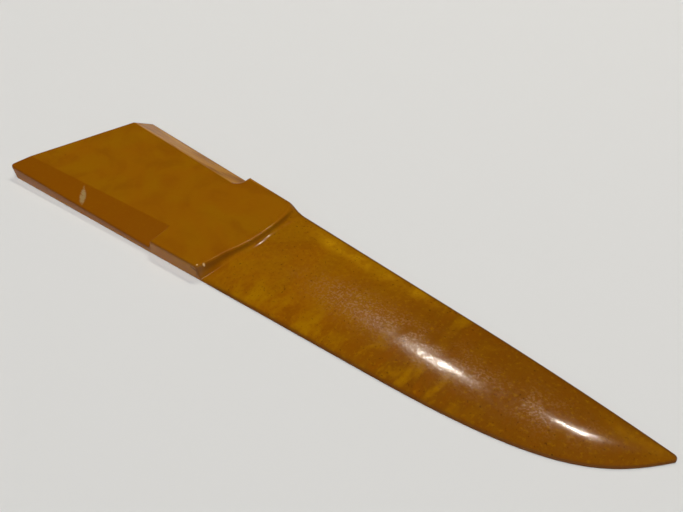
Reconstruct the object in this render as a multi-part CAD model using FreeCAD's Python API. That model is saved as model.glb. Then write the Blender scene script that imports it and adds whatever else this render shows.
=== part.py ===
import FreeCAD, Part
import math
import os

# A one-piece folder shaped like a paper knife, cut and polished from one slab of cast resin.
# Frame: +X from the butt of the handle to the tip, +Y from the thin near edge to the spine,
# +Z up from the flat back. The plan is drawn from the near corner of the butt, and the
# finished piece is moved so that the origin is the bottom centre of its box.

# Slab and plan, in millimetres
length = 212.4                    # before the tip is rounded
thickness = 4.7
butt_x = -1.0                     # where the line of the butt meets the near edge
butt_slant = 0.405                # the butt leans this much along X for each unit of Y
butt_undercut = (1.3, 0.4)        # how far its foot stands back, at the near and far ends
undercut_height = 3.4             # the end face is upright above this
corner_radius = 1.2               # the near corner of the butt, in plan
spine_line_y = 46.6               # where the straight part of the spine would meet X = 0
spine_slope = -0.1045
spine_bend_x = 150.0              # the spine curves gently from here to the tip
belly_start_x = 138.0             # the near edge is straight up to here
belly_poles = [(189.5, 0.0), (199.5, 7.1)]
tip_y = 22.4
tip_radius = 1.2

# Handle: flat top with a stopped bevel along each long edge
near_bevel_width = (6.6, 8.5)     # at the butt and at its stop
near_bevel_wall = (3.9, 1.85)     # height left under it at the butt and at its stop
near_stop_x = 60.4
near_stop_radius = 2.0
far_bevel_width = 6.1
far_bevel_wall = (1.6, 1.9)
far_stop_x = 64.8
far_stop_radius = 4.5

# Bolster: full thickness between the bevels' stops and the curved shoulder
shoulder_x = 84.1                 # where the top edge of the shoulder reaches furthest
shoulder_y = 29.0
shoulder_radius = 70.0
shoulder_draft = 0.8              # how much further out the foot of the shoulder is
cove_radius = 1.5

# Blade: flat below, domed above, thin along the near edge and thicker along the spine
edge_height = 0.6
spine_height = (2.1, 1.0)         # at the shoulder and at the tip
camber = 0.052                    # rise of the dome above its chord, over the blade's width
blade_root_x = 70.0
blade_stations = [70.0, 100.0, 130.0, 155.0, 176.0, 191.0, 201.0, 207.5, 212.8]
overhang = 0.6                    # the dome is made this much wider, then trimmed to the plan

clearance = 8.0                   # how far the cutting shapes reach past the slab


def vector(x, y, z=0.0):
    return FreeCAD.Vector(x, y, z)


def spine_y(x):
    """Y of the spine: a straight line, then a parabola that ends at the tip."""
    straight = spine_line_y + spine_slope * x
    if x <= spine_bend_x:
        return straight
    drop_at_tip = spine_line_y + spine_slope * length - tip_y
    along = (x - spine_bend_x) / (length - spine_bend_x)
    return straight - drop_at_tip * along ** 2


def belly_curve():
    curve = Part.BezierCurve()
    start = vector(belly_start_x, 0)
    curve.setPoles([start] + [vector(x, y) for x, y in belly_poles] + [vector(length, tip_y)])
    return curve


def near_y(x, curve):
    """Y of the near edge, straight and then along the belly."""
    if x <= belly_start_x:
        return 0.0
    if x >= length:
        return tip_y
    low = 0.0
    high = 1.0
    for _ in range(40):
        middle = (low + high) / 2
        if curve.value(middle).x < x:
            low = middle
        else:
            high = middle
    return curve.value(low).y


def spine_curve():
    """The curved part of the spine, from the tip back to the straight part."""
    middle_x = (length + spine_bend_x) / 2
    middle = vector(middle_x, spine_line_y + spine_slope * middle_x)
    curve = Part.BezierCurve()
    curve.setPoles([vector(length, tip_y), middle, vector(spine_bend_x, spine_y(spine_bend_x))])
    return curve


def butt_far_corner():
    y = (spine_line_y + spine_slope * butt_x) / (1 - spine_slope * butt_slant)
    return vector(butt_x + butt_slant * y, y)


def plan_prism(height):
    """The whole outline, raised to a slab with its back at Z = 0."""
    near_corner = vector(butt_x, 0)
    belly_start = vector(belly_start_x, 0)
    spine_bend = vector(spine_bend_x, spine_y(spine_bend_x))
    far_corner = butt_far_corner()
    edges = [
        Part.makeLine(near_corner, belly_start),
        belly_curve().toShape(),
        spine_curve().toShape(),
        Part.makeLine(spine_bend, far_corner),
        Part.makeLine(far_corner, near_corner),
    ]
    slab = Part.Face(Part.Wire(edges)).extrude(vector(0, 0, height))
    tip_edges = [e for e in slab.Edges if is_upright_at(e, length, tip_y)]
    slab = slab.makeFillet(tip_radius, tip_edges)
    corner_edges = [e for e in slab.Edges if is_upright_at(e, butt_x, 0.0)]
    return slab.makeFillet(corner_radius, corner_edges)


def is_upright_at(edge, x, y):
    return all(math.hypot(v.X - x, v.Y - y) < 0.01 for v in edge.Vertexes)


def polygon_prism(corners, z, height):
    wire = Part.makePolygon([vector(x, y, z) for x, y in corners + corners[:1]])
    return Part.Face(wire).extrude(vector(0, 0, height))


def bevel_cutter(crease, outer, wall, stop_x, stop_radius):
    """A wedge that removes one top edge of the handle.

    crease and outer are the Y values of the bevel's inner and outer edges at X = 0 and at
    the stop, and wall is the height left under the outer edge at the same two places.
    The wedge ends at stop_x in a rounded inner corner.
    """
    past = 30.0
    sections = []
    for x, c, o, w in zip((0.0, stop_x), crease, outer, wall):
        side = 1 if o > c else -1
        fall = (thickness - w) / abs(o - c)
        reach = o + side * clearance
        low = thickness - fall * abs(reach - c)
        high = thickness + clearance
        corners = [(c, thickness), (reach, low), (reach, high), (c, high)]
        sections.append([vector(x, y, z) for y, z in corners])
    start, end = sections
    stretched = []
    for a, b in zip(start, end):
        step = (b - a) * (past / stop_x)
        stretched.append((a - step, b + step))
    wires = [Part.makePolygon(list(row) + [row[0]]) for row in zip(*stretched)]
    wedge = Part.makeLoft(wires, True, True)
    return wedge.common(stop_plan(crease[1], outer[1], stop_x, stop_radius))


def stop_plan(crease_y, outer_y, stop_x, stop_radius):
    """A tall block in plan whose inner corner at the stop is rounded."""
    side = 1 if outer_y > crease_y else -1
    inner = crease_y - side * clearance
    outer = outer_y + side * clearance
    corners = [(-40.0, inner), (stop_x, inner), (stop_x, outer), (-40.0, outer)]
    block = polygon_prism(corners, -20.0, 40.0)
    round_y = crease_y + side * stop_radius
    notch_corners = [
        (stop_x - stop_radius, inner),
        (stop_x + 1.0, inner),
        (stop_x + 1.0, round_y),
        (stop_x - stop_radius, round_y),
    ]
    notch = polygon_prism(notch_corners, -20.0, 40.0)
    centre = vector(stop_x - stop_radius, round_y, -20.0)
    notch = notch.cut(Part.makeCylinder(stop_radius, 40.0, centre, vector(0, 0, 1)))
    return block.cut(notch)


def near_bevel():
    return bevel_cutter(near_bevel_width, (0.0, 0.0), near_bevel_wall, near_stop_x, near_stop_radius)


def far_bevel():
    outer = (spine_y(0.0), spine_y(far_stop_x))
    crease = (outer[0] - far_bevel_width, outer[1] - far_bevel_width)
    return bevel_cutter(crease, outer, far_bevel_wall, far_stop_x, far_stop_radius)


def undercut():
    """A wedge that leans the butt's end face inwards below undercut_height."""
    wires = []
    for y, foot in ((0.0, butt_undercut[0]), (spine_line_y, butt_undercut[1])):
        top_x = butt_x + butt_slant * y
        corners = [
            vector(top_x, y, undercut_height),
            vector(top_x + foot, y, 0.0),
            vector(top_x - clearance, y, 0.0),
            vector(top_x - clearance, y, undercut_height),
        ]
        wires.append(Part.makePolygon(corners + corners[:1]))
    return Part.makeLoft(wires, True, True)


def handle():
    """Handle and bolster, ending in a shoulder that is an arc in plan."""
    slab = plan_prism(thickness)
    centre = vector(shoulder_x - shoulder_radius, shoulder_y)
    reach = shoulder_radius + shoulder_draft
    shoulder = Part.makeCone(reach, shoulder_radius, thickness, centre, vector(0, 0, 1))
    shoulder.rotate(centre, vector(0, 0, 1), 180)  # keeps the seam away from the blade
    return slab.common(shoulder).cut(near_bevel()).cut(far_bevel()).cut(undercut())


def blade_section(x, curve):
    """A closed section across the blade: flat below, a circular arc above."""
    near = near_y(x, curve)
    far = spine_y(min(x, length))
    along = max(0.0, (x - blade_root_x) / (length - blade_root_x))
    far_z = spine_height[0] + (spine_height[1] - spine_height[0]) * along
    width = far - near
    low_y = near - overhang
    high_y = far + overhang
    slope = (far_z - edge_height) / max(width, 4.0)
    crown_z = (edge_height + far_z) / 2 + camber * width
    low = vector(x, low_y, edge_height - (slope + 4 * camber) * overhang)
    high = vector(x, high_y, far_z + (slope - 4 * camber) * overhang)
    crown = vector(x, (near + far) / 2, crown_z)
    below_low = vector(x, low_y, -1.0)
    below_high = vector(x, high_y, -1.0)
    edges = [
        Part.makeLine(below_low, low),
        Part.Arc(low, crown, high).toShape(),
        Part.makeLine(high, below_high),
        Part.makeLine(below_high, below_low),
    ]
    return Part.Wire(edges)


def blade():
    curve = belly_curve()
    dome = Part.makeLoft([blade_section(x, curve) for x in blade_stations], True, False)
    return dome.common(plan_prism(thickness + 1.0))


def cove_edges(solid):
    """The concave edges where the shoulder meets the dome of the blade."""
    found = []
    for edge in solid.Edges:
        middle = edge.valueAt((edge.FirstParameter + edge.LastParameter) / 2)
        from_centre = math.hypot(middle.x - shoulder_x + shoulder_radius, middle.y - shoulder_y)
        near_foot = shoulder_radius - 0.1 < from_centre < shoulder_radius + shoulder_draft + 0.1
        spans = abs(edge.Vertexes[0].Y - edge.Vertexes[-1].Y) > 1.0
        if near_foot and spans and 0.5 < middle.z < thickness - 0.3 and middle.x > near_stop_x:
            found.append(edge)
    return found


def folder_body():
    solid = handle().fuse(blade()).removeSplitter()
    solid = solid.makeFillet(cove_radius, cove_edges(solid))
    box = solid.optimalBoundingBox()
    solid.translate(vector(-box.Center.x, -box.Center.y, -box.ZMin))
    return solid


def main():
    os.makedirs("parts", exist_ok=True)
    body = folder_body()
    body.exportStep("parts/folder_body.step")
    box = body.optimalBoundingBox()
    print("valid", body.isValid(), "solids", len(body.Solids), "volume", round(body.Volume, 1))
    print("size", round(box.XLength, 2), round(box.YLength, 2), round(box.ZLength, 2))


main()
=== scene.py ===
import bpy
import math
import numpy as np
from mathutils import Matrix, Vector


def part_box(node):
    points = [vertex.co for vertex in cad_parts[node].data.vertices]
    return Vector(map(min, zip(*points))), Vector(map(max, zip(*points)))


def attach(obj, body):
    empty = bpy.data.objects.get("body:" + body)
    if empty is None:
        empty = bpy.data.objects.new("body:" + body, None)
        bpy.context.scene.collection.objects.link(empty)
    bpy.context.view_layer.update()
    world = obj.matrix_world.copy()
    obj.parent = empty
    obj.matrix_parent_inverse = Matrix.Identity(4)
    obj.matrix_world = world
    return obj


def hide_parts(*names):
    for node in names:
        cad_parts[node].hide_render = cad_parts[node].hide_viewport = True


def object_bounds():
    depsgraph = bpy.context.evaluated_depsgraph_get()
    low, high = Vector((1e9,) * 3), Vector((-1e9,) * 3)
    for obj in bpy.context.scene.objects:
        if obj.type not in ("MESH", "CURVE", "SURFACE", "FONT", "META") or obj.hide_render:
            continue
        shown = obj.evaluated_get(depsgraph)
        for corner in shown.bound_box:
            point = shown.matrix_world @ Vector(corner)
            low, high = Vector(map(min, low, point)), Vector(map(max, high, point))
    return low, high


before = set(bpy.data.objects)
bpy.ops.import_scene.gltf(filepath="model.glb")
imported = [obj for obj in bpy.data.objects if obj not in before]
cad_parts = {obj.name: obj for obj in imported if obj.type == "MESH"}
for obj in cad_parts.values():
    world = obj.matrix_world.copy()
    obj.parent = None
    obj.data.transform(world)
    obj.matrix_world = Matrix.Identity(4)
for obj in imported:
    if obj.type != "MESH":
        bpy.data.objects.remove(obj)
cad_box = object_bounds()

# The piece is drawn in millimetres in its plan frame: X from the near corner of the butt to
# the tip, Y from the near edge to the spine, Z up from the flat back. to_frame() moves it.
MM = 0.001
NODE = "folder_body"

# Slab and plan, as in the CAD
THICKNESS = 4.7
LENGTH = 212.4                    # before the tip is rounded
BUTT_X = -1.0                     # where the line of the butt meets the near edge
BUTT_SLANT = 0.405                # the butt leans this much along X for each unit of Y
BUTT_UNDERCUT = (1.3, 0.4)        # how far the foot of the butt stands back, near and far
UNDERCUT_HEIGHT = 3.4             # the end face is upright above this
CORNER_RADIUS = 1.2               # the near corner of the butt, in plan
SPINE_Y = 46.6                    # where the straight part of the spine would meet X = 0
SPINE_SLOPE = -0.1045
SPINE_BEND_X = 150.0              # the spine curves gently from here to the tip
TIP_Y = 22.4
BELLY_POLES = [(138.0, 0.0), (189.5, 0.0), (199.5, 7.1), (LENGTH, TIP_Y)]
BELLY_STEPS = 600
TIP_RADIUS = 1.2

# Handle bevels: two values are at the butt and at the stop. A stop runs out over the length
# called run, and a softness above 0.5 wears its top corner down. The far stop is 0.4 mm nearer
# the butt than in the CAD, because it runs out softly.
NEAR_BEVEL_WIDTH = (6.6, 8.5)
NEAR_BEVEL_WALL = (3.9, 1.85)
NEAR_STOP_X = 60.4
NEAR_STOP_RADIUS = 2.0
NEAR_STOP_RUN = 1.3
NEAR_STOP_SOFTNESS = 0.5
FAR_BEVEL_WIDTH = (6.1, 6.1)
FAR_BEVEL_WALL = (1.6, 1.9)
FAR_STOP_X = 64.4
FAR_STOP_RADIUS = 4.5
FAR_STOP_RUN = 3.2
FAR_STOP_SOFTNESS = 0.85
PAST_STOP = 3.0                   # how much faster the bevel's depth falls away past its stop

# Shoulder and blade
SHOULDER_X = 84.1
SHOULDER_Y = 29.0
SHOULDER_RADIUS = 70.0
SHOULDER_CORNER = 4.0             # its far corner, in plan
SHOULDER_PAST_SPINE = 0.3         # that corner is drawn this far past the spine
SHOULDER_DIP = (9.5, 5.0, 0.7)    # it stands back a little here: middle Y, half width, depth
SHOULDER_BLEND = (0.28, 0.98)     # rounding of its top edge, on most of it and at the spine
FAR_WEAR = (9.0, 1.0)             # distances from the spine where its wear starts and is full
FAR_WEAR_RUN = 5.0                # run of the cove where the wear is full
EDGE_WEAR = 0.4                   # how far the bolster's far edge is worn down
EDGE_WEAR_WIDTH = 1.6             # how far from the spine that wear reaches
EDGE_WEAR_X = (60.0, 66.0)        # where it starts and is full
COVE_RUN = (1.7, 2.4)             # at the near edge and further in
COVE_POWER = (1.1, 2.5)           # how hollow it is, at the same two places
COVE_Y = (3.0, 13.0)              # where the near values end and the others begin
EDGE_HEIGHT = 0.6                 # of the blade's near edge
SPINE_HEIGHT = (2.1, 1.0)         # of its far edge, at the shoulder and at the tip
BLADE_ROOT_X = 70.0
CAMBER = 0.052                    # rise of the dome above its chord, over the blade's width
LEAST_WIDTH = 0.3                 # the dome is worked out for at least this width

# Damage: an old chip across the near bevel, and a short nick in the near wall
CHIP_PLACE = (28.4, 3.9)
CHIP_HALF = (4.6, 1.15)           # along and across
CHIP_LEAST = 0.01                 # half its width where it runs out
CHIP_TURN = math.radians(-50)
CHIP_LOPSIDED = 0.45              # how much broader it is towards the near edge
CHIP_DEPTH = 0.14
NICK_X = (75.8, 78.4)             # its two ends
NICK_Z = (3.75, 3.1)
NICK_HALF = 0.3
NICK_DEPTH = 0.16

# Where the blade's ridge runs, as a share of its width, and the scuffed patches along it, paler
# partly from their scuffs and partly from a painted sheen: (middle X, half length, strength)
RIDGE_PLACE = 0.48
HAZE_WIDTH = 5.5
HAZE_PATCHES = [(118.0, 14.0, 0.6), (146.0, 18.0, 1.0), (180.0, 14.0, 0.6)]
# Clearer, yellower resin by the spine: (middle X, half length, distance from spine, strength)
FAR_GLOWS = [(100.0, 6.0, 4.2, 0.8), (114.0, 12.0, 3.4, 0.75), (131.0, 10.0, 2.2, 0.6),
             (198.0, 6.0, 3.2, 0.25), (206.0, 4.0, 1.7, 0.2)]
GLOW_WIDTH = 2.2
# Where the blade turns browner, and where and how much it clears again at the tip
BROWNER_X = (108.0, 150.0)
CLEARER_X = (194.0, 208.0)
CLEARER = 0.1
# How strong the blade's mottling is towards the tip and by the shoulder, and where it changes
MOTTLED = (0.15, 1.0)
MOTTLED_X = (168.0, 148.0)

# Painted highlights: small pale glints on the shoulder's near corner: X, Y, radius
PAINTED_GLINTS = [(77.9, 0.9, 0.28), (79.0, 2.6, 0.3), (82.6, 5.6, 0.25)]

# Painted zones: the distances, in millimetres, where a zone has faded out and where it is full
BLADE_ZONE = (SHOULDER_X - 6.0, SHOULDER_X + 3.0)     # along X
# Painted shade darkens the blade's thin edges and a band on the walls just below the top edge; the
# thin edges are also dull
THIN_EDGE = (1.1, 0.2)            # from the blade's edges
EDGE_SHADE_LINE = (0.7, 0.1)            # from the outline
EDGE_SHADE_DEPTH = (0.9, 0.3)      # below the top surface
EDGE_SHADE_STRENGTH = 0.65
BEVEL_ZONE = (-0.3, 0.3)          # past a bevel's crease
FAR_BEVEL_DEPTH = 0.15            # the far bevel's colour needs this depth
FAR_BEVEL_END = SHOULDER_X - 10.0
# Painted shade on the shoulder's wall just past its top edge, kept away from the spine
BEAD_SHADE_START = (0.1, 0.4)     # past the shoulder's top edge
BEAD_SHADE_END = (1.4, 0.6)
BEAD_SHADE_INNER = (1.5, 5.0)     # from the spine
TOP_ONLY_Z = 1.0                  # paint for the top stays above this height
NEAR_WALL_Y = 1.0                 # paint for the near wall stays below this Y

# Colours, linear
OCHRE = (0.3, 0.104, 0.0012, 1.0)
OLIVE = (0.3, 0.116, 0.001, 1.0)
BROWN = (0.24, 0.072, 0.001, 1.0)
# Painted shade: the near bevel drawn darker than the top
NEAR_BEVEL_SHADE = (0.24, 0.073, 0.0008, 1.0)
# Painted light: the far bevel drawn lighter than the top
FAR_BEVEL_LIT = (0.5, 0.215, 0.01, 1.0)
AMBER = (0.365, 0.162, 0.0006, 1.0)
YELLOW = (0.5, 0.235, 0.003, 1.0)
BLADE_BROWN = (0.2, 0.065, 0.002, 1.0)
# Scuffs along the ridge, partly their own paler colour and partly a painted sheen
SCUFF_AND_SHEEN = (0.35, 0.165, 0.045, 1.0)
# Painted shade, for the edges and the band under the shoulder's bead
PAINTED_SHADE = (0.11, 0.035, 0.002, 1.0)
# Dark pits and specks, and painted shade in the nick
DEEP_BROWN_AND_SHADE = (0.06, 0.02, 0.002, 1.0)
CHALK = (0.33, 0.21, 0.08, 1.0)
# Painted highlights, for the glints
GLINT_COLOUR = (0.85, 0.62, 0.3, 1.0)
PAPER = (0.79, 0.795, 0.795, 1.0)

# Textures of the resin: features per millimetre, detail and distortion
MARBLE = (0.035, 3.0, 1.6)
SWIRL = (0.045, 3.0, 2.0)
PATCHES = (0.22, 4.0, 0.5)
GRAIN = (0.9, 3.0, 0.0)
SPECKLE = (1.5, 4.0, 0.0)
CLOUD = (0.12, 3.0, 0.4)
PITS = (1.4, 3.0, 0.0)
SPECKS = 0.07                     # features per millimetre only
GLOSS = (0.5, 3.0, 0.0)
RUBS = (1.7, 4.0, 0.4)
WAVES = (0.09, 2.0, 0.0)
SCUFFS = (2.6, 3.0, 0.0)
PEEL = (1.3, 4.0, 0.0)
# These are stretched: features per millimetre along X, Y and Z, and their turn about Z
VEINS = (1.0, 4.0, 0.5)
VEIN_STRETCH = (0.05, 0.35, 0.35)
STREAKS = (1.0, 6.0, 0.4)
STREAK_STRETCH = (0.22, 0.1, 0.3)
STREAK_TURN = math.radians(-36)
FLAKES = (1.0, 4.0, 0.0)
FLAKE_STRETCH = (0.5, 2.0, 1.0)
SCRATCHES = (1.0, 3.0, 0.0)
SCRATCH_STRETCH = (0.12, 2.4, 1.0)
SCRATCH_TURN = math.radians(12)

# The noise values where a texture has faded out and where it is full
MARBLE_BAND = (0.38, 0.62)
SWIRL_BAND = (0.44, 0.66)
VEIN_BAND = (0.4, 0.62)
LIGHT_STREAK_BAND = (0.46, 0.66)
DARK_STREAK_BAND = (0.5, 0.36)
PATCH_BAND = (0.35, 0.6)
LIGHT_GRAIN_BAND = (0.5, 0.8)
DARK_GRAIN_BAND = (0.5, 0.25)
SPECKLE_BAND = (0.48, 0.6)
CLOUD_BAND = (0.35, 0.6)
FLAKE_BAND = (0.3, 0.6)
PIT_BAND = (0.36, 0.28)
SPECK_BAND = (0.022, 0.012)       # a distance from the speck's middle, in cells
GLOSS_BAND = (0.3, 0.7)
RUB_BAND = (0.43, 0.54)
SCRATCH_BAND = (0.62, 0.72)

# How much of a colour is mixed in where its texture or zone is full
SWIRL_SHARE = 0.5
LIGHT_STREAK_SHARE = 0.85
DARK_STREAK_SHARE = 0.9
STREAKED_THICKNESS = (0.28, 0.68)  # streaks are full below the first, as a share of the slab
GRAIN_SHARE = (0.1, 0.5)           # on the handle and on the blade
HAZE_SHEEN_SHARE = 0.9
EDGE_SHADE_SHARE = 0.85
BEAD_SHADE_SHARE = 0.5
PIT_SHARE = 0.6

# What is left of a zone where the texture that breaks it up has faded out
LEAST_GLOW = 0.35
LEAST_SPECKLE = 0.15
LEAST_FLAKE = 0.35

# The strengths of the chip and of the painted glints where their colours start and are full
CHALK_BAND = (0.05, 0.7)
GLINT_BAND = (0.2, 0.8)

# Gloss
ROUGHNESS = (0.1, 0.16)
HAZE_ROUGHNESS = 0.12
CHIP_ROUGHNESS = 0.4
EDGE_ROUGHNESS = 0.3
COAT = 0.36
RUBBED_HAZE = 0.4                  # the coat is rubbed most where the haze is above this
RUBBED_SHARE = 0.9

# Relief, in millimetres
WAVE_HEIGHT = 0.03
SCUFF_HEIGHT = 0.016
PEEL_HEIGHT = 0.006
SCRATCH_DEPTH = 0.002

# Stage: the camera's place is in the plan frame
CAMERA_PLACE = (230.9, -137.8, 196.9)
CAMERA_PITCH = 43.0
CAMERA_YAW = 36.53
SENSOR_WIDTH = 36.0
LENS = 52.7
CLIP_START = 0.01
FLOOR_SIZE = 4.0
FLOOR_GAP = 0.00005
PAPER_ROUGHNESS = 0.9
PAPER_SPECULAR = 0.2

# Small lamps: the spot on the piece that mirrors it, its elevation and azimuth in degrees seen
# from there, its two sides in metres, and its radiance
LAMPS = {
    "lamp_left": ((150.0, 12.3, 2.5), 56.3, 122.7, (0.08, 0.026), 260.0),
    "lamp_right": ((187.5, 14.4, 1.9), 57.4, 103.6, (0.05, 0.016), 220.0),
    "lamp_end": ((190.0, 14.4, 1.9), 57.6, 101.4, (0.026, 0.042), 300.0),
}
LAMP_DISTANCE = 1.2
LAMP_COLOUR = (1.0, 0.93, 0.8)

# The room: how bright its parts are, and between which cosines each one begins and is full
ROOM_COLOUR = (1.0, 0.995, 0.985, 1.0)
DIM = 0.01
SIDE = 0.2
SIDE_BAND = (0.0, 0.6)
HORIZON = 0.12
HORIZON_BAND = (0.2, 0.02)
CEILING = 7.5
CEILING_BAND = (0.93, 0.98)
CEILING_TILT = math.radians(26)    # towards the camera's side

# Rounding of edges
TOP_ROUND = 0.38
TOP_ROUND_LIMITS = (0.4, 0.45)     # at most these shares of the width and of the edge's height
BACK_ROUND = 0.28
BACK_ROUND_LIMIT = 0.25            # at most this share of the width
BUTT_ROUND = 0.25
BUTT_LIFT = 0.5                    # the back rises by this share of the butt's rounding
CREASE_BLEND = (0.10, 0.35)        # on most of the handle and by the far stop
FAR_STOP_WEAR = 5.0                # how far from the far stop its crease is worn

# The mesh
ROUND_STEPS = 4
WALL_STEPS = 14
BACK_STEPS = 14
# (start of a stretch, spacing of its rows), along X at the near edge
ROWS = [
    (0.0, 0.08), (0.5, 0.3), (2.0, 0.8), (23.0, 0.3), (36.0, 0.8), (57.0, 0.22), (68.0, 0.6),
    (74.5, 0.14), (83.5, 0.4), (90.0, 1.0), (140.0, 0.7), (190.0, 0.4), (205.0, 0.15),
]
NEAR_COLUMNS = 18
MIDDLE_COLUMNS = 44
FAR_COLUMNS = 14
# Rows lean with the butt, its near corner and its undercut until these places, and they
# follow the shoulder's arc more and more, fully, less and less, and no longer
BUTT_ROWS_END = 52.0
CORNER_ROWS_END = 6.0
UNDERCUT_ROWS_END = 10.0
ARC_ROWS = (62.0, 74.0, 86.0, 120.0)
END_GAP = 0.02                     # the last row stops this far short of the tip
FIRST_GUESS_Y = 20.0               # anywhere inside the outline
SETTLING_STEPS = 30
ON_WALL = 0.01                     # points this close to the near edge are on the near wall


def ramp(pair, along):
    """Between two values, held past both ends."""
    return pair[0] + (pair[1] - pair[0]) * np.clip(along, 0.0, 1.0)


def soft_min(a, b, blend):
    """The lower of two surfaces, rounded where they cross."""
    h = np.clip(0.5 + 0.5 * (b - a) / blend, 0.0, 1.0)
    return b * (1 - h) + a * h - blend * h * (1 - h)


def smooth_step(a, b, x):
    """0 at a and 1 at b, held past both ends. Either one may be the greater."""
    t = np.clip((x - a) / (b - a), 0.0, 1.0)
    return t * t * (3 - 2 * t)


def bump_shape(value, middle, half):
    """A smooth hill of height 1."""
    return np.exp(-((value - middle) / half) ** 2)


# ---- plan outline ----

def belly_line():
    """Dense points along the cubic curve of the belly."""
    t = np.linspace(0.0, 1.0, BELLY_STEPS)[:, None]
    p = np.array(BELLY_POLES)
    near_start = (1 - t) ** 3 * p[0] + 3 * (1 - t) ** 2 * t * p[1]
    near_end = 3 * (1 - t) * t ** 2 * p[2] + t ** 3 * p[3]
    return near_start + near_end


BELLY = belly_line()


def sharp_spine(x):
    """Y of the spine before the tip is rounded: a straight line, then a parabola."""
    straight = SPINE_Y + SPINE_SLOPE * x
    drop = SPINE_Y + SPINE_SLOPE * LENGTH - TIP_Y
    along = np.maximum((x - SPINE_BEND_X) / (LENGTH - SPINE_BEND_X), 0.0)
    return straight - drop * along ** 2


def tip_circle():
    """The small circle that rounds the tip: its centre, and where it touches belly and spine."""
    step = BELLY[-1] - BELLY[-2]
    belly_angle = math.atan2(-step[1], -step[0])
    slope = SPINE_SLOPE - 2 * (SPINE_Y + SPINE_SLOPE * LENGTH - TIP_Y) / (LENGTH - SPINE_BEND_X)
    spine_angle = math.atan2(-slope, -1.0)
    if belly_angle < 0:
        belly_angle += 2 * math.pi
    half = (belly_angle - spine_angle) / 2
    reach = TIP_RADIUS / math.sin(half)
    middle = (belly_angle + spine_angle) / 2
    length = TIP_RADIUS / math.tan(half)
    centre = (LENGTH + reach * math.cos(middle), TIP_Y + reach * math.sin(middle))
    return centre, LENGTH + length * math.cos(belly_angle), LENGTH + length * math.cos(spine_angle)


TIP_CENTRE, BELLY_TOUCH_X, SPINE_TOUCH_X = tip_circle()
TIP_X = TIP_CENTRE[0] + TIP_RADIUS
PLAN_LEFT = BUTT_X + CORNER_RADIUS * (BUTT_SLANT + math.hypot(1.0, BUTT_SLANT) - 1)


def tip_half(x):
    """Half the width of the tip's circle."""
    past_centre = np.clip(x - TIP_CENTRE[0], 0.0, TIP_RADIUS)
    return np.sqrt(TIP_RADIUS ** 2 - past_centre ** 2)


def near_edge(x):
    """Y of the near edge, the belly and the near half of the tip."""
    y = np.interp(x, BELLY[:, 0], BELLY[:, 1], left=0.0)
    rounded = TIP_CENTRE[1] - tip_half(x)
    return np.where(x > BELLY_TOUCH_X, rounded, y)


def spine_edge(x):
    """Y of the spine and the far half of the tip."""
    y = sharp_spine(x)
    rounded = TIP_CENTRE[1] + tip_half(x)
    return np.where(x > SPINE_TOUCH_X, rounded, y)


def shoulder_line(y):
    """X of the shoulder's top edge, an arc in plan."""
    arc = SHOULDER_X - SHOULDER_RADIUS + np.sqrt(SHOULDER_RADIUS ** 2 - (y - SHOULDER_Y) ** 2)
    return arc - SHOULDER_DIP[2] * bump_shape(y, SHOULDER_DIP[0], SHOULDER_DIP[1])


# ---- height of the top surface ----

def rounded_corner(u, v, radius):
    """Distance inside the quadrant u > 0, v > 0, with its corner rounded."""
    plain = np.minimum(u, v)
    curved = radius - np.hypot(radius - u, radius - v)
    return np.where((u < radius) & (v < radius), curved, plain)


def bevel_depth(x, inside, width, wall, stop_x, radius, run, softness):
    """How deep a stopped bevel cuts. inside is the distance past its crease.

    At the stop it runs out over a length of run. A softness of 0.5 is a quarter circle, and
    more of it wears the top corner down.
    """
    along = x / stop_x
    fall = (THICKNESS - ramp(wall, along)) / ramp(width, along)
    plane = fall * inside
    deepest = THICKNESS - wall[1]
    from_stop = rounded_corner(inside, stop_x - x, radius) / run
    rise = (1 - (1 - np.clip(from_stop, 0.0, 1.0)) ** 2) ** softness
    scoop = np.where(from_stop < 1.0, deepest * rise, deepest * from_stop)
    scoop = np.where(from_stop < 0.0, PAST_STOP * deepest * from_stop, scoop)
    return soft_min(plane, scoop, CREASE_BLEND[0])


def blade_height(x, y):
    """The dome of the blade, thin at the near edge and thicker at the spine."""
    near = near_edge(x)
    width = np.maximum(spine_edge(x) - near, LEAST_WIDTH)
    v = np.clip((y - near) / width, 0.0, 1.0)
    far_z = ramp(SPINE_HEIGHT, (x - BLADE_ROOT_X) / (LENGTH - BLADE_ROOT_X))
    return EDGE_HEIGHT + (far_z - EDGE_HEIGHT) * v + 4 * CAMBER * width * v * (1 - v)


def near_crease(x):
    """Y of the near bevel's inner edge."""
    return ramp(NEAR_BEVEL_WIDTH, x / NEAR_STOP_X)


def far_crease(x):
    """Y of the far bevel's inner edge."""
    return sharp_spine(x) - ramp(FAR_BEVEL_WIDTH, x / FAR_STOP_X)


def handle_height(x, y):
    """The flat top of the handle with its bevels, which runs on over the blade."""
    near = bevel_depth(x, near_crease(x) - y, NEAR_BEVEL_WIDTH, NEAR_BEVEL_WALL,
                       NEAR_STOP_X, NEAR_STOP_RADIUS, NEAR_STOP_RUN, NEAR_STOP_SOFTNESS)
    far = bevel_depth(x, y - far_crease(x), FAR_BEVEL_WIDTH, FAR_BEVEL_WALL,
                      FAR_STOP_X, FAR_STOP_RADIUS, FAR_STOP_RUN, FAR_STOP_SOFTNESS)
    depth = np.maximum(near, far)
    blend = ramp(CREASE_BLEND, bump_shape(x, FAR_STOP_X, FAR_STOP_WEAR) * (y > SHOULDER_Y))
    by_spine = smooth_step(EDGE_WEAR_WIDTH, 0.0, spine_edge(x) - y)
    rolled = EDGE_WEAR * by_spine * smooth_step(*EDGE_WEAR_X, x)
    return soft_min(THICKNESS - rolled, THICKNESS - depth, blend)


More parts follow.
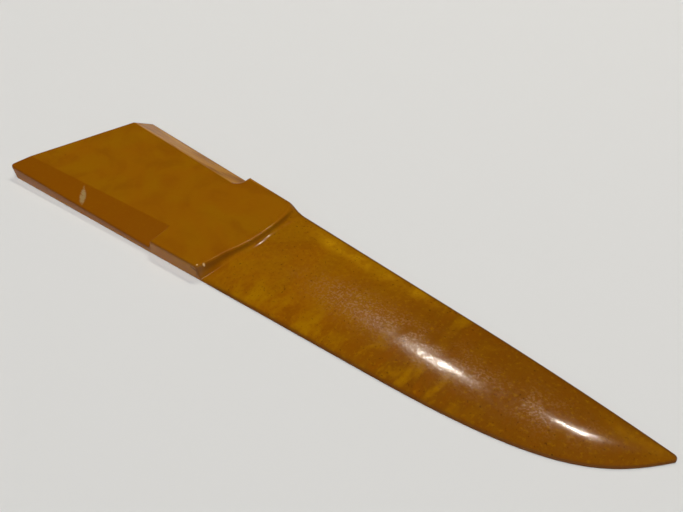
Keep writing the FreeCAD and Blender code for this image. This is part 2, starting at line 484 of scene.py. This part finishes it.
def chip_mask(x, y):
    """1 at the middle of the chip on the near bevel, 0 outside its leaf shape."""
    u = (x - CHIP_PLACE[0]) * math.cos(CHIP_TURN) + (y - CHIP_PLACE[1]) * math.sin(CHIP_TURN)
    v = (y - CHIP_PLACE[1]) * math.cos(CHIP_TURN) - (x - CHIP_PLACE[0]) * math.sin(CHIP_TURN)
    lopsided = 1 + CHIP_LOPSIDED * u / CHIP_HALF[0]
    narrow = np.clip(1 - (u / CHIP_HALF[0]) ** 2, 0.0, 1.0) * lopsided
    return np.clip(1 - (v / (CHIP_HALF[1] * narrow + CHIP_LEAST)) ** 2, 0.0, 1.0) * narrow


def nick_mask(x, z):
    """1 in the middle of the short nick in the near wall."""
    along = (x - NICK_X[0]) / (NICK_X[1] - NICK_X[0])
    line = NICK_Z[0] + (NICK_Z[1] - NICK_Z[0]) * along
    section = np.clip(1 - ((z - line) / NICK_HALF) ** 2, 0.0, 1.0)
    return section * np.clip(1 - (2 * along - 1) ** 4, 0.0, 1.0)


def top_height(x, y):
    """Handle and blade, joined by the shoulder's cove."""
    blade = blade_height(x, y)
    from_spine = spine_edge(x) - y
    inside = rounded_corner(from_spine + SHOULDER_PAST_SPINE, shoulder_line(y) - x, SHOULDER_CORNER)
    inward = smooth_step(*COVE_Y, y)
    worn = smooth_step(*FAR_WEAR, from_spine)
    run = ramp((ramp(COVE_RUN, inward), FAR_WEAR_RUN), worn)
    past = np.minimum(-inside / run, 1.0)
    wall = blade + (THICKNESS - blade) * (1 - past) ** ramp(COVE_POWER, inward)
    handle = handle_height(x, y) - CHIP_DEPTH * np.sqrt(chip_mask(x, y))
    return soft_min(handle, wall, ramp(SHOULDER_BLEND, worn))


# ---- the mesh ----

def row_places():
    """Places of the rows along the near edge, closer together where the shape is finer."""
    places = []
    last = TIP_X - END_GAP
    ends = [start for start, _ in ROWS[1:]] + [last]
    for (start, spacing), end in zip(ROWS, ends):
        steps = max(1, round((end - start) / spacing))
        places += [start + (end - start) * i / steps for i in range(steps)]
    return np.array(places + [last])


def butt_line(y):
    """X of the butt's straight line."""
    return BUTT_X + BUTT_SLANT * y


def corner_cut(y):
    """How far the rounded near corner stands back from the butt's straight line."""
    lean = math.hypot(1.0, BUTT_SLANT)
    touch_y = CORNER_RADIUS * (1 + BUTT_SLANT / lean)
    centre_x = BUTT_X + CORNER_RADIUS * (BUTT_SLANT + lean)
    circle = centre_x - np.sqrt(np.maximum(CORNER_RADIUS ** 2 - (y - CORNER_RADIUS) ** 2, 0.0))
    return np.where(y < touch_y, circle - butt_line(y), 0.0)


def row_x(s, y, z=THICKNESS):
    """Rows lean with the butt, follow the shoulder's arc, and are square elsewhere."""
    butt = butt_line(y) * smooth_step(BUTT_ROWS_END, 0.0, s)
    corner = corner_cut(y) * smooth_step(CORNER_ROWS_END, 0.0, s)
    undercut = ramp(BUTT_UNDERCUT, y / SPINE_Y) * np.clip(1 - z / UNDERCUT_HEIGHT, 0.0, 1.0)
    undercut = undercut * smooth_step(UNDERCUT_ROWS_END, 0.0, s)
    more, fully, less, no_longer = ARC_ROWS
    by_shoulder = smooth_step(more, fully, s) * smooth_step(no_longer, less, s)
    shoulder = (shoulder_line(y) - shoulder_line(0.0)) * by_shoulder
    return s + butt + corner + undercut + shoulder


def crossings(s, column):
    """X and Y where rows and columns cross.

    Columns 0 to 1 lie between the near edge and its crease, 1 to 2 between the creases, and
    2 to 3 between the far crease and the spine. X and Y depend on each other, so both are
    settled step by step.
    """
    strip = np.clip(np.floor(column).astype(int), 0, 2)
    y = np.full_like(s, FIRST_GUESS_Y)
    for _ in range(SETTLING_STEPS):
        x = np.minimum(row_x(s, y), TIP_X - END_GAP / 2)
        near = near_edge(x)
        far = spine_edge(x)
        low = near + (far - near) * near_crease(x) / sharp_spine(x)
        high = near + (far - near) * far_crease(x) / sharp_spine(x)
        marks = [near, low, high, far]
        start = np.choose(strip, marks[:3])
        end = np.choose(strip, marks[1:])
        y = start + (end - start) * (column - strip)
    return x, y


def eased(count):
    """Fractions from 0 to 1 that crowd towards both ends."""
    return 0.5 - 0.5 * np.cos(np.pi * np.arange(count) / count)


def section_columns():
    """The columns of the top, closer together at its edges and creases."""
    parts = [eased(NEAR_COLUMNS), 1 + eased(MIDDLE_COLUMNS), 2 + eased(FAR_COLUMNS), [3.0]]
    return np.concatenate(parts)


def piece_mesh():
    """Rings across the piece: back, far wall, top and near wall, closed at butt and tip."""
    s = row_places()
    grid_s, grid_c = np.meshgrid(s, section_columns(), indexing="ij")
    x, y = crossings(grid_s, grid_c)
    width = y[:, -1:] - y[:, :1]
    edge_height = top_height(x[:, :1], y[:, :1])
    top_r = np.minimum(TOP_ROUND, TOP_ROUND_LIMITS[0] * width)
    top_r = np.minimum(top_r, TOP_ROUND_LIMITS[1] * edge_height)
    back_r = np.minimum(BACK_ROUND, BACK_ROUND_LIMIT * width)
    y_in = y[:, :1] + top_r + (y - y[:, :1]) / width * (width - 2 * top_r)
    z_top = top_height(row_x(grid_s, y_in), y_in)
    from_end = np.clip(BUTT_ROUND - s, 0.0, BUTT_ROUND)[:, None]
    inset = BUTT_ROUND - np.sqrt(BUTT_ROUND ** 2 - from_end ** 2)
    y_in = np.clip(y_in, y_in[:, :1] + inset, y_in[:, -1:] - inset)
    edges = np.hstack([y[:, :1] + inset, y[:, -1:] - inset])
    lift = BUTT_LIFT * inset
    return np.array([ring(s[i], edges[i], y_in[i], z_top[i] - inset[i], top_r[i, 0], back_r[i, 0],
                          lift[i, 0]) for i in range(len(s))])


def ring(s, edges, y_in, z_top, r, b, lift):
    """One closed ring of points, starting at the near end of the back.

    r and b are the radii of its top and back edges, and lift is the height of its back.
    """
    near, far = edges
    quarter = np.linspace(0.0, math.pi / 2, ROUND_STEPS + 1)
    z_far, z_near = z_top[-1], z_top[0]
    low = lift + b
    up = np.arange(1, WALL_STEPS) / WALL_STEPS
    points = [(v, lift) for v in np.linspace(near + b, far - b, BACK_STEPS)]
    points += [(far - b + b * math.sin(a), low - b * math.cos(a)) for a in quarter[1:]]
    points += [(far, low + (z_far - r - low) * k) for k in up]
    points += [(far - r + r * math.cos(a), z_far - r + r * math.sin(a)) for a in quarter[:-1]]
    points += [(v, z) for v, z in zip(y_in[::-1], z_top[::-1])]
    points += [(near + r - r * math.sin(a), z_near - r + r * math.cos(a)) for a in quarter[1:]]
    points += [(near, z_near - r - (z_near - r - low) * k) for k in up]
    points += [(near + b - b * math.cos(a), low - b * math.sin(a)) for a in quarter[:-1]]
    y, z = np.array(points).T
    x = np.minimum(row_x(np.full(len(y), s), y, z), TIP_X)
    y = y + np.where(y < near + ON_WALL, NICK_DEPTH * nick_mask(x, z), 0.0)
    return np.column_stack([x, y, z])


def to_frame(points):
    """From the plan frame, in millimetres, to the CAD frame, in metres."""
    low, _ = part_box(NODE)
    return (points - np.array([PLAN_LEFT, 0.0, 0.0])) * MM + np.array(low)


def ridge_y(x):
    """Y of the blade's ridge, where light catches it."""
    return near_edge(x) + RIDGE_PLACE * (spine_edge(x) - near_edge(x))


def paint_maps(points):
    """Maps that the resin's material reads: thickness, zones, edges, glow, haze, damage, painted
    shade and glints.
    """
    x, y, z = points.T
    near = near_edge(x)
    far = spine_edge(x)
    inset_y = np.clip(y, near + TOP_ROUND, np.maximum(far - TOP_ROUND, near + TOP_ROUND))
    height = top_height(x, inset_y)
    from_side = np.minimum(y - near, far - y)
    on_top = z > TOP_ONLY_Z
    on_blade = smooth_step(*BLADE_ZONE, x)
    from_butt = (x - butt_line(y) - corner_cut(y)) / math.hypot(1.0, BUTT_SLANT)
    by_edge = smooth_step(*EDGE_SHADE_LINE, np.minimum(from_side, from_butt))
    # Painted shade: a dark band on the walls just below the top edge, all round the outline
    edge_shade_line = EDGE_SHADE_STRENGTH * by_edge * smooth_step(*EDGE_SHADE_DEPTH, height - z)
    past_bead = x - shoulder_line(y)
    bead_shade = smooth_step(*BEAD_SHADE_START, past_bead) * smooth_step(*BEAD_SHADE_END, past_bead)
    # Painted light on the far bevel
    far_lit_zone = smooth_step(*BEVEL_ZONE, y - far_crease(x)) * (height < THICKNESS - FAR_BEVEL_DEPTH)
    haze = sum(strength * bump_shape(x, middle, half) for middle, half, strength in HAZE_PATCHES)
    glow = sum(strength * bump_shape(x, middle, half) * bump_shape(far - y, inset, GLOW_WIDTH)
               for middle, half, inset, strength in FAR_GLOWS)
    return {
        "thick": height / THICKNESS,
        # Painted shade on the outline and the blade's thin edges, which are also read as worn and
        # dull
        "edge": np.maximum(smooth_step(*THIN_EDGE, from_side) * on_blade, edge_shade_line),
        "under_bead": bead_shade * smooth_step(*BEAD_SHADE_INNER, far - y) * on_top,
        # Painted highlights: pale glints on the shoulder's near corner
        "painted_glint": sum(bump_shape(np.hypot(x - sx, y - sy), 0.0, r) for sx, sy, r in PAINTED_GLINTS),
        "blade": on_blade,
        "browner": smooth_step(*BROWNER_X, x) * (1 - CLEARER * smooth_step(*CLEARER_X, x)),
        "mottled": on_blade * ramp(MOTTLED, smooth_step(*MOTTLED_X, x)),
        # Painted shade on the near bevel
        "near_bevel_shade": smooth_step(*BEVEL_ZONE, near_crease(x) - y) * (x < NEAR_STOP_X) * on_top,
        # Painted light on the far bevel
        "far_bevel_light": far_lit_zone * (x < FAR_BEVEL_END),
        "glow": glow * on_blade,
        "haze": haze * bump_shape(y, ridge_y(x), HAZE_WIDTH) * on_blade,
        "chip": chip_mask(x, y) * on_top,
        # Painted shade in the nick
        "nick": nick_mask(x, z) * (y < NEAR_WALL_Y),
    }


def build_piece():
    """The whole folder as one closed mesh with its paint maps."""
    rings = piece_mesh()
    rows, count, _ = rings.shape
    points = rings.reshape(-1, 3)
    faces = []
    for i in range(rows - 1):
        for j in range(count):
            k = (j + 1) % count
            faces.append((i * count + j, i * count + k, (i + 1) * count + k, (i + 1) * count + j))
    faces.append(tuple(reversed(range(count))))
    faces.append(tuple(range((rows - 1) * count, rows * count)))
    mesh = bpy.data.meshes.new("folder")
    mesh.from_pydata(to_frame(points).tolist(), [], faces)
    for name, values in paint_maps(points).items():
        mesh.attributes.new(name, "FLOAT", "POINT").data.foreach_set("value", values)
    mesh.update()
    mesh.shade_smooth()
    piece = bpy.data.objects.new("folder", mesh)
    bpy.context.collection.objects.link(piece)
    return piece


# ---- the resin ----

def make(tree, kind, **settings):
    node = tree.nodes.new(kind)
    for name, value in settings.items():
        setattr(node, name, value)
    return node


def feed(tree, node, **inputs):
    """Links or sets inputs by name, with _ for a space."""
    for name, value in inputs.items():
        socket = node.inputs[name.replace("_", " ")]
        if isinstance(value, bpy.types.NodeSocket):
            tree.links.new(value, socket)
        else:
            socket.default_value = value
    return node


def attribute(tree, name):
    return make(tree, "ShaderNodeAttribute", attribute_name=name).outputs["Fac"]


def calc(tree, operation, *values):
    """A maths node, fed with links or with numbers."""
    node = make(tree, "ShaderNodeMath", operation=operation)
    for socket, value in zip(node.inputs, values):
        if isinstance(value, bpy.types.NodeSocket):
            tree.links.new(value, socket)
        else:
            socket.default_value = value
    return node.outputs[0]


def remap(tree, value, low, high, to_low=0.0, to_high=1.0):
    """Turns low to high into to_low to to_high smoothly, held past both ends."""
    node = make(tree, "ShaderNodeMapRange", interpolation_type="SMOOTHSTEP")
    feed(tree, node, Value=value, From_Min=low, From_Max=high, To_Min=to_low, To_Max=to_high)
    return node.outputs["Result"]


def mix(tree, factor, a, b):
    """Mixes two colours."""
    node = make(tree, "ShaderNodeMix", data_type="RGBA")
    for index, value in ((0, factor), (6, a), (7, b)):
        if isinstance(value, bpy.types.NodeSocket):
            tree.links.new(value, node.inputs[index])
        else:
            node.inputs[index].default_value = value
    return node.outputs[2]


def noise(tree, place, scale, detail, distortion):
    """Noise whose scale is in features per millimetre."""
    node = make(tree, "ShaderNodeTexNoise")
    feed(tree, node, Vector=place, Scale=scale, Detail=detail, Distortion=distortion)
    return node.outputs["Fac"]


def stretched(tree, place, turn, scale):
    """A place turned about Z and scaled along X, Y and Z."""
    node = make(tree, "ShaderNodeMapping")
    feed(tree, node, Vector=place, Rotation=(0, 0, turn), Scale=scale)
    return node.outputs["Vector"]


def resin_colour(tree, place):
    """Marbling, with zones, streaks, scuffs, damage, painted shade, light, sheen and glints over it
    in turn.
    """
    marble = noise(tree, place, *MARBLE)
    colour = mix(tree, remap(tree, marble, *MARBLE_BAND), OCHRE, OLIVE)
    swirl = noise(tree, place, *SWIRL)
    colour = mix(tree, remap(tree, swirl, *SWIRL_BAND, 0.0, SWIRL_SHARE), colour, BROWN)
    colour = mix(tree, attribute(tree, "browner"), colour, BLADE_BROWN)

    # Painted shade: the near bevel is drawn darker than the top
    colour = mix(tree, attribute(tree, "near_bevel_shade"), colour, NEAR_BEVEL_SHADE)
    # Painted light: the far bevel is drawn lighter than the top, broken into veins
    veins = noise(tree, stretched(tree, place, 0.0, VEIN_STRETCH), *VEINS)
    far_light_colour = mix(tree, remap(tree, veins, *VEIN_BAND), FAR_BEVEL_LIT, OCHRE)
    colour = mix(tree, attribute(tree, "far_bevel_light"), colour, far_light_colour)

    # Streaks in the thin blade, that run across it
    streaks = noise(tree, stretched(tree, place, STREAK_TURN, STREAK_STRETCH), *STREAKS)
    thin = remap(tree, attribute(tree, "thick"), *STREAKED_THICKNESS, 1.0, 0.0)
    on_blade = calc(tree, "MULTIPLY", thin, attribute(tree, "mottled"))
    light = remap(tree, streaks, *LIGHT_STREAK_BAND, 0.0, LIGHT_STREAK_SHARE)
    colour = mix(tree, calc(tree, "MULTIPLY", light, on_blade), colour, AMBER)
    dark = remap(tree, streaks, *DARK_STREAK_BAND, 0.0, DARK_STREAK_SHARE)
    colour = mix(tree, calc(tree, "MULTIPLY", dark, on_blade), colour, BROWN)

    # Clearer resin that glows yellow by the spine and at the tip
    patchy = remap(tree, noise(tree, place, *PATCHES), *PATCH_BAND, LEAST_GLOW, 1.0)
    glow = calc(tree, "MULTIPLY", attribute(tree, "glow"), patchy)
    colour = mix(tree, calc(tree, "MINIMUM", glow, 1.0), colour, YELLOW)

    grain = noise(tree, place, *GRAIN)
    share = remap(tree, attribute(tree, "blade"), 0.0, 1.0, *GRAIN_SHARE)
    light = remap(tree, grain, *LIGHT_GRAIN_BAND)
    colour = mix(tree, calc(tree, "MULTIPLY", light, share), colour, AMBER)
    dark = remap(tree, grain, *DARK_GRAIN_BAND)
    colour = mix(tree, calc(tree, "MULTIPLY", dark, share), colour, BROWN)
    # The scuffed haze turns the colour paler: partly the scuffs' own colour, partly a painted sheen
    colour = mix(tree, calc(tree, "MULTIPLY", haze_mask(tree, place), HAZE_SHEEN_SHARE), colour, SCUFF_AND_SHEEN)
    # Painted shade along the edges and under the shoulder's bead
    for zone, strength in (("edge", EDGE_SHADE_SHARE), ("under_bead", BEAD_SHADE_SHARE)):
        dark = calc(tree, "MULTIPLY", attribute(tree, zone), strength)
        colour = mix(tree, dark, colour, PAINTED_SHADE)
    # Painted highlights: pale glints on the shoulder's near corner
    colour = mix(tree, remap(tree, attribute(tree, "painted_glint"), *GLINT_BAND), colour, GLINT_COLOUR)
    return damage_colour(tree, place, colour)


def haze_mask(tree, place):
    """Fine handling scuffs in speckled patches along the ridge."""
    speckle = remap(tree, noise(tree, place, *SPECKLE), *SPECKLE_BAND, LEAST_SPECKLE, 1.0)
    cloud = remap(tree, noise(tree, place, *CLOUD), *CLOUD_BAND)
    both = calc(tree, "MULTIPLY", speckle, cloud)
    return calc(tree, "MULTIPLY", both, attribute(tree, "haze"))


def damage_colour(tree, place, colour):
    """Adds the chalky chip, painted shade in the nick, fine pits on the blade, and a few dark
    specks.
    """
    flakes = noise(tree, stretched(tree, place, -CHIP_TURN, FLAKE_STRETCH), *FLAKES)
    flaky = remap(tree, flakes, *FLAKE_BAND, LEAST_FLAKE, 1.0)
    ragged = calc(tree, "MULTIPLY", attribute(tree, "chip"), flaky)
    colour = mix(tree, remap(tree, ragged, *CHALK_BAND), colour, CHALK)
    # Painted shade in the nick in the near wall
    colour = mix(tree, attribute(tree, "nick"), colour, DEEP_BROWN_AND_SHADE)
    pits = remap(tree, noise(tree, place, *PITS), *PIT_BAND, 0.0, PIT_SHARE)
    colour = mix(tree, calc(tree, "MULTIPLY", pits, attribute(tree, "blade")), colour, DEEP_BROWN_AND_SHADE)
    specks = make(tree, "ShaderNodeTexVoronoi")
    feed(tree, specks, Vector=place, Scale=SPECKS)
    return mix(tree, remap(tree, specks.outputs["Distance"], *SPECK_BAND), colour, DEEP_BROWN_AND_SHADE)


def resin_relief(tree, place):
    """Slow waves left by hand polishing, a slight orange peel, scuffs and fine scratches."""
    scuffs = calc(tree, "MULTIPLY", noise(tree, place, *SCUFFS), haze_mask(tree, place))
    scratch_place = stretched(tree, place, SCRATCH_TURN, SCRATCH_STRETCH)
    scratches = remap(tree, noise(tree, scratch_place, *SCRATCHES), *SCRATCH_BAND)
    height = calc(tree, "MULTIPLY", noise(tree, place, *PEEL), PEEL_HEIGHT)
    height = calc(tree, "MULTIPLY_ADD", scuffs, SCUFF_HEIGHT, height)
    height = calc(tree, "MULTIPLY_ADD", scratches, -SCRATCH_DEPTH, height)
    height = calc(tree, "MULTIPLY_ADD", noise(tree, place, *WAVES), WAVE_HEIGHT, height)
    bump = make(tree, "ShaderNodeBump")
    feed(tree, bump, Height=height, Distance=MM, Strength=1.0)
    return bump.outputs["Normal"]


def resin_roughness(tree, place):
    """Rougher in the haze, in the chip and along the edges."""
    rough = remap(tree, noise(tree, place, *GLOSS), *GLOSS_BAND, *ROUGHNESS)
    rough = calc(tree, "MULTIPLY_ADD", haze_mask(tree, place), HAZE_ROUGHNESS, rough)
    rough = calc(tree, "MULTIPLY_ADD", attribute(tree, "chip"), CHIP_ROUGHNESS, rough)
    return calc(tree, "MULTIPLY_ADD", attribute(tree, "edge"), EDGE_ROUGHNESS, rough)


def resin_coat(tree, place):
    """The polish, rubbed away in specks along the ridge and all along the edges."""
    rubs = remap(tree, noise(tree, place, *RUBS), *RUB_BAND)
    by_ridge = remap(tree, attribute(tree, "haze"), 0.0, RUBBED_HAZE, 0.0, RUBBED_SHARE)
    dull = calc(tree, "MAXIMUM", calc(tree, "MULTIPLY", rubs, by_ridge), attribute(tree, "edge"))
    return calc(tree, "MULTIPLY_ADD", dull, -COAT, COAT)


def resin():
    """Cast phenolic resin: translucent, marbled, polished and a little scuffed."""
    material = bpy.data.materials.new("amber_resin_looks")
    material.use_nodes = True
    tree = material.node_tree
    shader = tree.nodes["Principled BSDF"]
    place = stretched(tree, make(tree, "ShaderNodeTexCoord").outputs["Object"], 0.0, (1 / MM,) * 3)
    normal = resin_relief(tree, place)
    feed(tree, shader, Base_Color=resin_colour(tree, place), Normal=normal, Coat_Normal=normal,
         Roughness=resin_roughness(tree, place), Coat_Weight=resin_coat(tree, place),
         Coat_Roughness=0.05, Coat_IOR=1.5, IOR=1.45, Specular_IOR_Level=0.12,
         Subsurface_Weight=0.15, Subsurface_Scale=0.002, Subsurface_Radius=(1.0, 0.45, 0.1))
    return material


# ---- stage ----

def floor():
    height = cad_box[0][2] - FLOOR_GAP
    bpy.ops.mesh.primitive_plane_add(size=FLOOR_SIZE, location=(0, 0, height))
    plane = bpy.context.object
    plane.name = "floor"
    material = bpy.data.materials.new("paper")
    material.use_nodes = True
    feed(material.node_tree, material.node_tree.nodes["Principled BSDF"], Base_Color=PAPER,
         Roughness=PAPER_ROUGHNESS, Specular_IOR_Level=PAPER_SPECULAR)
    plane.data.materials.append(material)


def lamp(name, spot, elevation, azimuth, size, radiance):
    """A soft lamp that a spot on the piece mirrors, with the radiance that it shows there."""
    climb = math.radians(elevation)
    heading = math.radians(azimuth)
    level = Vector((math.cos(heading), math.sin(heading), 0.0))
    way = level * math.cos(climb) + Vector((0.0, 0.0, math.sin(climb)))
    data = bpy.data.lights.new(name, "AREA")
    data.shape = "RECTANGLE"
    data.size, data.size_y = size
    data.energy = radiance * math.pi * size[0] * size[1]
    data.color = LAMP_COLOUR
    light = bpy.data.objects.new(name, data)
    light.location = Vector(to_frame(np.array(spot))) + way * LAMP_DISTANCE
    light.rotation_euler = (-way).to_track_quat("-Z", "Y").to_euler()
    bpy.context.collection.objects.link(light)


def towards(tree, way, direction):
    """The cosine between the world's direction and a fixed one."""
    node = make(tree, "ShaderNodeVectorMath", operation="DOT_PRODUCT")
    tree.links.new(way, node.inputs[0])
    node.inputs[1].default_value = direction
    return node.outputs["Value"]


def studio():
    """A room with one broad soft ceiling light, dim on the far side and the right."""
    world = bpy.data.worlds.new("studio")
    bpy.context.scene.world = world
    world.use_nodes = True
    tree = world.node_tree
    way = make(tree, "ShaderNodeTexCoord").outputs["Generated"]
    yaw = math.radians(CAMERA_YAW)
    forward = Vector((-math.sin(yaw), math.cos(yaw), 0.0))
    above = Vector((0.0, 0.0, 1.0))
    ceiling = above * math.cos(CEILING_TILT) - forward * math.sin(CEILING_TILT)
    rightward = forward.cross(above)
    side = remap(tree, towards(tree, way, -forward - rightward), *SIDE_BAND, DIM, SIDE)
    overhead = remap(tree, towards(tree, way, ceiling), *CEILING_BAND, 0.0, CEILING)
    horizon = remap(tree, towards(tree, way, above), *HORIZON_BAND, 0.0, HORIZON)
    strength = calc(tree, "ADD", side, calc(tree, "ADD", overhead, horizon))
    feed(tree, tree.nodes["Background"], Color=ROOM_COLOUR, Strength=strength)


def camera():
    data = bpy.data.cameras.new("camera")
    data.sensor_width = SENSOR_WIDTH
    data.lens = LENS
    data.clip_start = CLIP_START
    cam = bpy.data.objects.new("camera", data)
    cam.location = to_frame(np.array(CAMERA_PLACE))
    cam.rotation_euler = (math.radians(90 - CAMERA_PITCH), 0, math.radians(CAMERA_YAW))
    bpy.context.collection.objects.link(cam)
    bpy.context.scene.camera = cam


piece = build_piece()
piece.data.materials.append(resin())
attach(piece, "root")
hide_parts(NODE)
floor()
camera()
studio()
for lamp_name, settings in LAMPS.items():
    lamp(lamp_name, *settings)
bpy.context.scene.view_settings.view_transform = "Standard"
